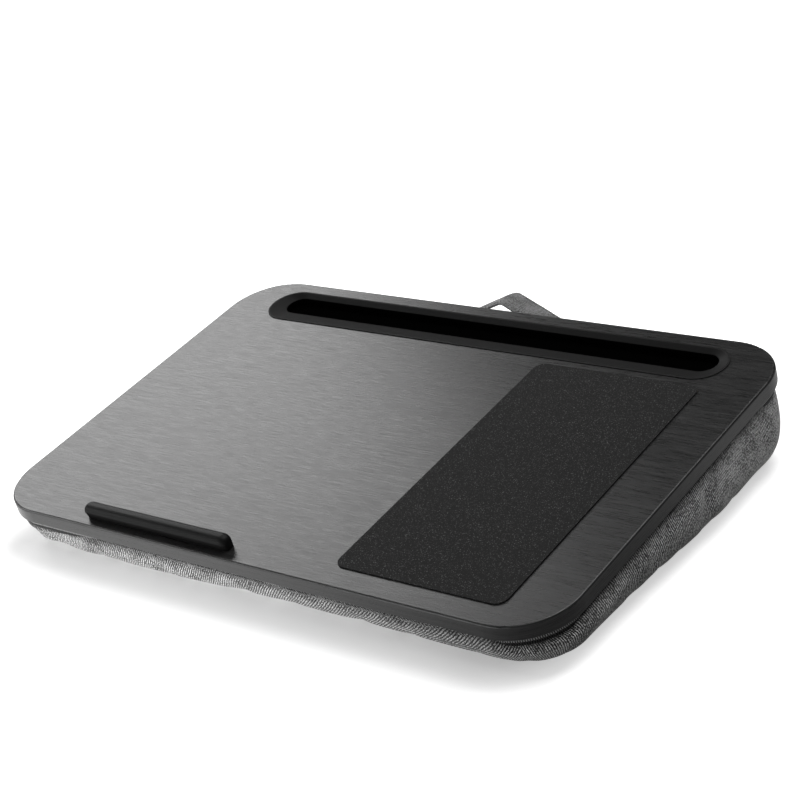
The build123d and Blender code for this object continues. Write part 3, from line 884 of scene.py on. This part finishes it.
def make_row_tree():
    """Geometry tree that sets a small shape along a curve at a given pitch, and its inputs' identifiers."""
    tree = bpy.data.node_groups.new("row along a path", "GeometryNodeTree")
    names = {}
    kinds = dict(Curve="Geometry", Pitch="Float", Shape="Object", Finish="Material")
    for label, kind in kinds.items():
        socket = tree.interface.new_socket(label, in_out="INPUT", socket_type="NodeSocket" + kind)
        names[label] = socket.identifier
    tree.interface.new_socket("Row", in_out="OUTPUT", socket_type="NodeSocketGeometry")
    given = tree.nodes.new("NodeGroupInput").outputs
    along = add(tree, "GeometryNodeResampleCurve", {"Curve": given["Curve"], "Length": given["Pitch"]},
                mode="LENGTH")
    shape = add(tree, "GeometryNodeObjectInfo", {"Object": given["Shape"]})
    tangent = add(tree, "GeometryNodeInputTangent")
    turn = add(tree, "FunctionNodeAlignRotationToVector", {"Vector": tangent.outputs[0]},
               axis="X", pivot_axis="Z")
    instances = add(tree, "GeometryNodeInstanceOnPoints",
                    {"Points": along.outputs[0], "Instance": shape.outputs["Geometry"],
                     "Rotation": turn.outputs[0]})
    real = add(tree, "GeometryNodeRealizeInstances", {"Geometry": instances.outputs[0]})
    painted = add(tree, "GeometryNodeSetMaterial", {"Geometry": real.outputs[0], "Material": given["Finish"]})
    tree.links.new(painted.outputs[0], tree.nodes.new("NodeGroupOutput").inputs[0])
    return tree, names


ROW_TREE, ROW_NAMES = make_row_tree()


def row_along(name, places, pitch, shape, material, matrix=None):
    """Plain mesh of a shape repeated along places, in metres; matrix then sets it in its place."""
    curve = bpy.data.curves.new(name, "CURVE")
    curve.dimensions = "3D"
    spline = curve.splines.new("POLY")
    spline.points.add(len(places) - 1)
    for point, place in zip(spline.points, places):
        point.co = (*place, 1.0)
    path = linked(name, curve)
    row = path.modifiers.new("row", "NODES")
    row.node_group = ROW_TREE
    for label, value in (("Pitch", pitch), ("Shape", shape), ("Finish", material)):
        row[ROW_NAMES[label]] = value
    made = settled(path)
    if matrix is not None:
        made.data.transform(matrix)
    smooth_shaded(made.data)
    return finished(made, material)


def small_block(name, size, bevel, slant=0.0):
    """Bevelled block in metres, used as a shape to repeat; slant leans its top along X."""
    mesh = bpy.data.meshes.new(name)
    form = bmesh.new()
    bmesh.ops.create_cube(form, size=1.0)
    bmesh.ops.scale(form, vec=size, verts=form.verts)
    for vertex in form.verts:
        vertex.co.x += slant * vertex.co.z
    bmesh.ops.bevel(form, geom=form.edges[:], offset=bevel, segments=1, affect="EDGES")
    form.to_mesh(mesh)
    form.free()
    return linked(name, mesh)


def band_piece(name, columns, sections, material):
    """Closed band swept along columns: sections gives (inset, level) corners of its cross-section."""
    verts = [on_floor(*place_of(inset), level) for place_of in columns for inset, level in sections]
    return finished(swept_piece(name, verts, len(columns), smooth=False), material)


def make_zip():
    """Tape and teeth of the board's half and of the cushion's half."""
    ends = [lambda inset, x=x: (x, DEPTH - inset) for x in (ZIP_END_X - TAPE_END, TAPE_END - ZIP_END_X)]
    columns = [ends[0], *(lambda inset, c=c: ring_place(c, inset) for c in zip_columns()), ends[1]]
    line = [ring_place(c, ZIP_INSET) for c in zip_columns()]
    line = [(ZIP_END_X, DEPTH - ZIP_INSET), *line, (-ZIP_END_X, DEPTH - ZIP_INSET)]
    tooth = small_block("tooth", TOOTH, TOOTH_BEVEL, TOOTH_LEAN)
    # Body, levels of the tape, level of the teeth, their shift in pitches, finish (painted glints above,
    # painted shade below), half
    for body, (high, low), level, offset, finish, half in (
        ("board", (-12.05, -12.55), -14.35, 0.0, COIL_PAINTED_GLINTS, "upper"),
        ("cushion", (-18.65, -19.15), -16.85, 0.5, COIL_PAINTED_SHADE, "lower"),
    ):
        section = ((TAPE_OUT, high), (TAPE_IN, high), (TAPE_IN, low), (TAPE_OUT, low))
        tape = band_piece(f"zip_tape_on_{body}", columns, section, TAPE)
        path = [(x * MM, y * MM, level * MM) for x, y in line]
        path[0] = (path[0][0] - offset * ZIP_PITCH * MM, *path[0][1:])
        teeth = row_along(f"zip_teeth_on_{body}", path, ZIP_PITCH * MM, tooth, finish, TO_FLOOR)
        belongs(teeth, body, "zip_coil", f"zip_coil_{half}")
        belongs(tape, body, "zip_tape", f"zip_tape_{half}")
    bpy.data.objects.remove(tooth)


# Hinge strip along the back and lining under the board

HINGE_HALF_W = ZIP_END_X - 3.5
HINGE_STEPS = 60
HINGE_SECTION = (
    (4.4, -19.3), (3.3, -18.0), (2.5, -15.7), (3.3, -13.3), (4.4, -12.05),
    (5.3, -12.05), (4.2, -13.4), (3.4, -15.7), (4.2, -17.9), (5.3, -19.3),
)
LINING_RINGS = (
    (16.0, -12.05), (16.0, -12.75), (17.2, -12.9), (19.5, -12.65), (24.0, -12.6), (60.0, -12.6),
    (110.0, -12.6), (158.0, -12.6),
)


def make_hinge_strip():
    """Fabric strip from the cushion's rim to the board's underside, bowed out a little."""
    columns = []
    for k in range(HINGE_STEPS + 1):
        x = mix(HINGE_HALF_W, -HINGE_HALF_W, k / HINGE_STEPS)
        columns.append(lambda inset, x=x: (x, DEPTH - inset + 0.25 * math.sin(x / 9.0)))
    strip = band_piece("hinge_fabric", columns, HINGE_SECTION, LINING)
    smooth_shaded(strip.data)
    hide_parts("hinge_strip")
    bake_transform(strip)


def make_board_lining():
    """Lining cloth bonded under the board, with a rolled hem."""
    verts = [on_floor(*ring_place(c, inset), level) for inset, level in LINING_RINGS for c in COLUMNS]
    lining = finished(swept_piece("lining_under_board", verts, len(LINING_RINGS)), LINING)
    belongs(lining, "board", "lining_fabric", "board_lining")


# Carry handle

HANDLE_X = -15.0
HANDLE_SPAN = 68.0
HANDLE_PEAK = 31.5
HANDLE_PEAK_R = 12.0
HANDLE_T = 5.0
HANDLE_W = 28.0
HANDLE_LEAN = math.radians(80.0)
HANDLE_SLANT = math.atan2(HANDLE_PEAK, HANDLE_SPAN)
HANDLE_AXIS_Y, HANDLE_AXIS_Z = DEPTH + BULGE_BACK + HANDLE_W / 2 + 0.6, UNDERSIDE_Z - 21.0
HANDLE_FOOT = 2.7
HANDLE_STEPS, HANDLE_BEND_STEPS = 14, 12
# Half of the strap's section over its outer face, as shares of its half width and half thickness
HANDLE_SECTION = (
    (-1.0, 0.0), (-1.0, 0.30), (-0.86, 0.46), (-0.78, 0.38), (-0.62, 0.66), (-0.35, 0.88), (0.0, 0.96),
)
HANDLE_CREASE = 0.35
# Stitches in metres; rows at shares of the half width and half thickness
STITCH = (0.0026, 0.0005, 0.0005)
STITCH_BEVEL, STITCH_PITCH = 0.00016, 0.0036
STITCH_SIDE, STITCH_LIFT = 0.8, 0.4
# Tabs: radius of the fold, flat web behind it, and stations across with their size
TAB_FOLD_R, TAB_FOLD_STEPS = 2.3, 12
TAB_WEB = ((-6.0, 1.8), (-15.4, 1.3), (-15.4, -1.3), (-6.0, -1.8))
TAB_STATIONS = ((-5.0, 0.86), (-4.7, 1.0), (-2.0, 1.0), (2.0, 1.0), (4.7, 1.0), (5.0, 0.86))


def handle_place(station, lift, side):
    """Point of the handle: at a station, lifted square to the strap's face and set along its width."""
    across, up, (nx, nz) = station
    up += nz * lift
    y = HANDLE_AXIS_Y + up * math.cos(HANDLE_LEAN) - side * math.sin(HANDLE_LEAN)
    z = HANDLE_AXIS_Z + up * math.sin(HANDLE_LEAN) + side * math.cos(HANDLE_LEAN)
    return on_floor(HANDLE_X + (across + nx * lift), y, z)


def handle_line(depth):
    """Stations along the strap at a depth under its outer face: place, and direction square to the face."""
    sine, cosine = math.sin(HANDLE_SLANT), math.cos(HANDLE_SLANT)
    r = HANDLE_PEAK_R - depth
    centre_up = HANDLE_PEAK - HANDLE_PEAK_R / cosine
    foot_across = HANDLE_SPAN - HANDLE_FOOT / math.tan(HANDLE_SLANT) - depth / sine
    straight, bend = [], []
    for k in range(HANDLE_STEPS + 1):
        t = k / HANDLE_STEPS
        across = mix(-foot_across, -r * sine, t)
        straight.append((across, mix(HANDLE_FOOT, centre_up + r * cosine, t), (-sine, cosine)))
    for k in range(1, HANDLE_BEND_STEPS):
        a = mix(HANDLE_SLANT, -HANDLE_SLANT, k / HANDLE_BEND_STEPS)
        bend.append((-r * math.sin(a), centre_up + r * math.cos(a), (-math.sin(a), math.cos(a))))
    return straight + bend + [(-across, up, (-nx, nz)) for across, up, (nx, nz) in reversed(straight)]


def runs_along(points):
    """Distance of each point from the first, along the line through them."""
    runs = [0.0]
    for a, b in zip(points, points[1:]):
        runs.append(runs[-1] + math.dist(a, b))
    return runs


def slanted_uvs(runs, sides, count):
    """Uvs, turned 45 degrees, of the quads between stations at runs and of the two faces that end them."""
    uvs = []
    for low, high in zip(runs, runs[1:]):
        for a, b in zip(sides, sides[1:]):
            uvs.append([(u + v, v - u) for u, v in ((low, a), (low, b), (high, b), (high, a))])
    return uvs + [[(i * MM, 0.0) for i in range(count)]] * 2


def make_handle():
    """Padded strap: flat sewn edges, a crowned middle, and stitches along both edges."""
    over = [*HANDLE_SECTION, *((-s, t) for s, t in reversed(HANDLE_SECTION[:-1]))]
    ring = over + [(s, -t) for s, t in reversed(over[1:-1])]
    half_w, half_t = HANDLE_W / 2, HANDLE_T / 2
    stations = handle_line(half_t)
    runs = runs_along([station[:2] for station in stations])
    sides = runs_along([(s * half_w, t * half_t) for s, t in ring + ring[:1]])
    verts = []
    for run, station in zip(runs, stations):
        crease = HANDLE_CREASE * noise.noise(Vector((run / 9.0, 2.0, 0.0)))
        for side, thick in ring:
            lift = thick * half_t + crease * (1 - abs(side))
            wobble = HANDLE_CREASE * noise.noise(Vector((run / 14.0, side, 5.0)))
            verts.append(handle_place(station, lift, side * half_w + wobble))
    uvs = slanted_uvs([run * MM for run in runs], [side * MM for side in sides], len(ring))
    strap = subdivided(swept_piece("carry_strap", verts, len(stations), uvs))
    belongs(finished(strap, STRAP), "handle", "strap_fabric", "handle_strap")
    stitch = small_block("stitch", STITCH, STITCH_BEVEL)
    for number, (side, face) in enumerate(((-1, 1), (1, 1), (-1, -1), (1, -1))):
        lift, out = face * STITCH_LIFT * half_t, side * STITCH_SIDE * half_w
        path = [tuple(handle_place(station, lift, out)) for station in stations[1:-1]]
        seam = row_along(f"strap_stitches_{number + 1}", path, STITCH_PITCH, stitch, THREAD)
        belongs(seam, "handle", "strap_fabric")
    bpy.data.objects.remove(stitch)


def make_handle_ends():
    """Sewn tabs that carry the strap: a rolled fold and a flat web into the rear wall."""
    middle_depth = HANDLE_T / math.sin(HANDLE_SLANT) + HANDLE_FOOT / math.tan(HANDLE_SLANT)
    end_x = HANDLE_SPAN - middle_depth / 2
    outline = []
    for k in range(TAB_FOLD_STEPS + 1):
        a = math.radians(mix(-90.0, 90.0, k / TAB_FOLD_STEPS))
        outline.append((TAB_FOLD_R * math.cos(a), TAB_FOLD_R * math.sin(a)))
    outline += TAB_WEB
    rows, count = len(TAB_STATIONS), len(outline)
    loops = swept_faces(rows, count)
    tab_uvs = slanted_uvs([x * MM for x, _ in TAB_STATIONS], [s * MM for s in range(count + 1)], count)
    verts, faces = [], []
    for middle in (HANDLE_X - end_x, HANDLE_X + end_x):
        faces += [tuple(len(verts) + i for i in loop) for loop in loops]
        for x, size in TAB_STATIONS:
            for back, up in outline:
                verts.append(on_floor(middle + x, HANDLE_AXIS_Y + back * size, HANDLE_AXIS_Z + up * size))
    tabs = facing_out(piece_from("handle_tabs", verts, faces, tab_uvs * 2))
    belongs(finished(tabs, STRAP), "cushion", "strap_fabric", "handle_sewn_ends")


# Floor, light and camera

FLOOR_REACH = 8.0
FLOOR_Z = -0.0002
UNDER_TRAY = (0.26, 0.185)
# World strength for most rays, and what is added where the camera sees it and where it is mirrored
WORLD_PLAIN, WORLD_SEEN, WORLD_MIRRORED = 0.18, 0.82, -0.15
# Name, place, aim, size and power of each light
LIGHTS = (
    ("softbox above", (0.45, 0.8, 2.3), (0.0, 0.0, 0.0), (1.8, 1.4), 42.0),
    ("softbox back left", (-2.05, 0.96, 1.47), (-0.05, -0.1, 0.06), (1.55, 1.2), 28.0),
    ("low front", (-0.6, -2.2, 0.3), (0.0, -0.1, 0.03), (1.8, 0.4), 13.0),
    ("card left", (-1.25, -0.85, 0.5), (-0.1, -0.15, 0.04), (0.9, 0.5), 6.0),
    ("top", (0.1, -0.3, 2.6), (0.0, 0.0, 0.0), (1.8, 1.8), 6.0),
)


def make_floor():
    """Plain pale floor: white to the camera, with the tray's soft shadow, cast and also painted darker close
    to the tray; to other rays it glows onto the tray.
    """
    corners = [(x * FLOOR_REACH, y * FLOOR_REACH, FLOOR_Z) for x, y in ((-1, -1), (1, -1), (1, 1), (-1, 1))]
    floor = piece_from("floor", corners, [(0, 1, 2, 3)], smooth=False)
    material, tree, feed = new_material(
        "floor", Roughness=1.0, Specular_IOR_Level=0.0, Emission_Color=grey(1.0),
    )
    seen = add(tree, "ShaderNodeLightPath").outputs["Is Camera Ray"]
    feed("Base Color", blend_colour(tree, seen, grey(0.25), grey(0.7)))
    place = add(tree, "ShaderNodeTexCoord").outputs["Object"]
    x, y = axis(tree, place, 0), axis(tree, place, 1)
    # How far the floor is from under the tray, and how white the camera sees it there: less white close to
    # the tray, painted shade round it
    past = vectors(tree, "SUBTRACT", vectors(tree, "ABSOLUTE", place), (*UNDER_TRAY, 0.0))
    past = vectors(tree, "MAXIMUM", past, (0.0, 0.0, 0.0))
    away = add(tree, "ShaderNodeVectorMath", {0: past}, operation="LENGTH").outputs["Value"]
    painted_shade_ramp = maths(tree, "MINIMUM", maths(tree, "MULTIPLY", away, 9.0), 1.0)
    white_with_painted_shade = maths(tree, "MULTIPLY_ADD", painted_shade_ramp, 0.7, 0.3)
    # Painted light: whiter on the right, lifting the tray's shadow there
    white_with_painted_shade = maths(tree, "MULTIPLY_ADD", between(tree, 0.2, 0.32, x), 0.52, white_with_painted_shade)
    # Painted glow: to rays other than the camera's the floor gives off light onto the tray, more from the
    # left and some from behind
    painted_glow = maths(tree, "MULTIPLY", between(tree, 0.3, -0.1, x), 1.2)
    painted_glow = maths(tree, "MULTIPLY_ADD", between(tree, -0.05, 0.2, y), 0.3, painted_glow)
    glow_off_camera = maths(tree, "MULTIPLY", maths(tree, "SUBTRACT", 1.0, seen), painted_glow)
    feed("Emission Strength", maths(tree, "MULTIPLY_ADD", seen, white_with_painted_shade, glow_off_camera))
    finished(floor, material)


def make_world():
    world = bpy.data.worlds.new("studio")
    bpy.context.scene.world = world
    world.use_nodes = True
    tree = world.node_tree
    background = tree.nodes["Background"]
    background.inputs["Color"].default_value = grey(1.0)
    rays = add(tree, "ShaderNodeLightPath").outputs
    strength = maths(tree, "MULTIPLY_ADD", rays["Is Camera Ray"], WORLD_SEEN, WORLD_PLAIN)
    strength = maths(tree, "MULTIPLY_ADD", rays["Is Glossy Ray"], WORLD_MIRRORED, strength)
    tree.links.new(strength, background.inputs["Strength"])


def make_lights():
    for name, place, aim, size, power in LIGHTS:
        light = bpy.data.lights.new(name, "AREA")
        light.shape = "RECTANGLE"
        light.size, light.size_y = size
        light.energy = power
        lamp = linked(name, light)
        lamp.location = place
        lamp.rotation_euler = (Vector(aim) - Vector(place)).to_track_quat("-Z", "Y").to_euler()


# Camera measured from the board's straight edges in the photograph
CAMERA_PLACE = (976.475, -775.029, 796.206)
CAMERA_RIGHT = (0.780238, 0.576327, -0.243055)
CAMERA_DOWN = (0.134523, -0.534114, -0.834641)
CAMERA_AHEAD = (-0.610845, 0.618523, -0.494265)
CAMERA_LENS, CAMERA_SENSOR = 90.179, 36.0
CAMERA_CLIP = (0.05, 60.0)


def make_camera():
    camera = bpy.data.cameras.new("camera")
    camera.lens, camera.sensor_width = CAMERA_LENS, CAMERA_SENSOR
    camera.clip_start, camera.clip_end = CAMERA_CLIP
    obj = linked("camera", camera)
    axes = Matrix((CAMERA_RIGHT, [-v for v in CAMERA_DOWN], [-v for v in CAMERA_AHEAD])).transposed()
    turn = TO_FLOOR.to_3x3() @ axes
    obj.matrix_world = Matrix.Translation(on_floor(*CAMERA_PLACE)) @ turn.to_4x4()
    bpy.context.scene.camera = obj


finish_cad_nodes()
make_cushion()
make_ledge()
make_zip()
make_hinge_strip()
make_board_lining()
make_handle()
make_handle_ends()
make_floor()
make_world()
make_lights()
make_camera()
bpy.context.scene.view_settings.view_transform = "Standard"
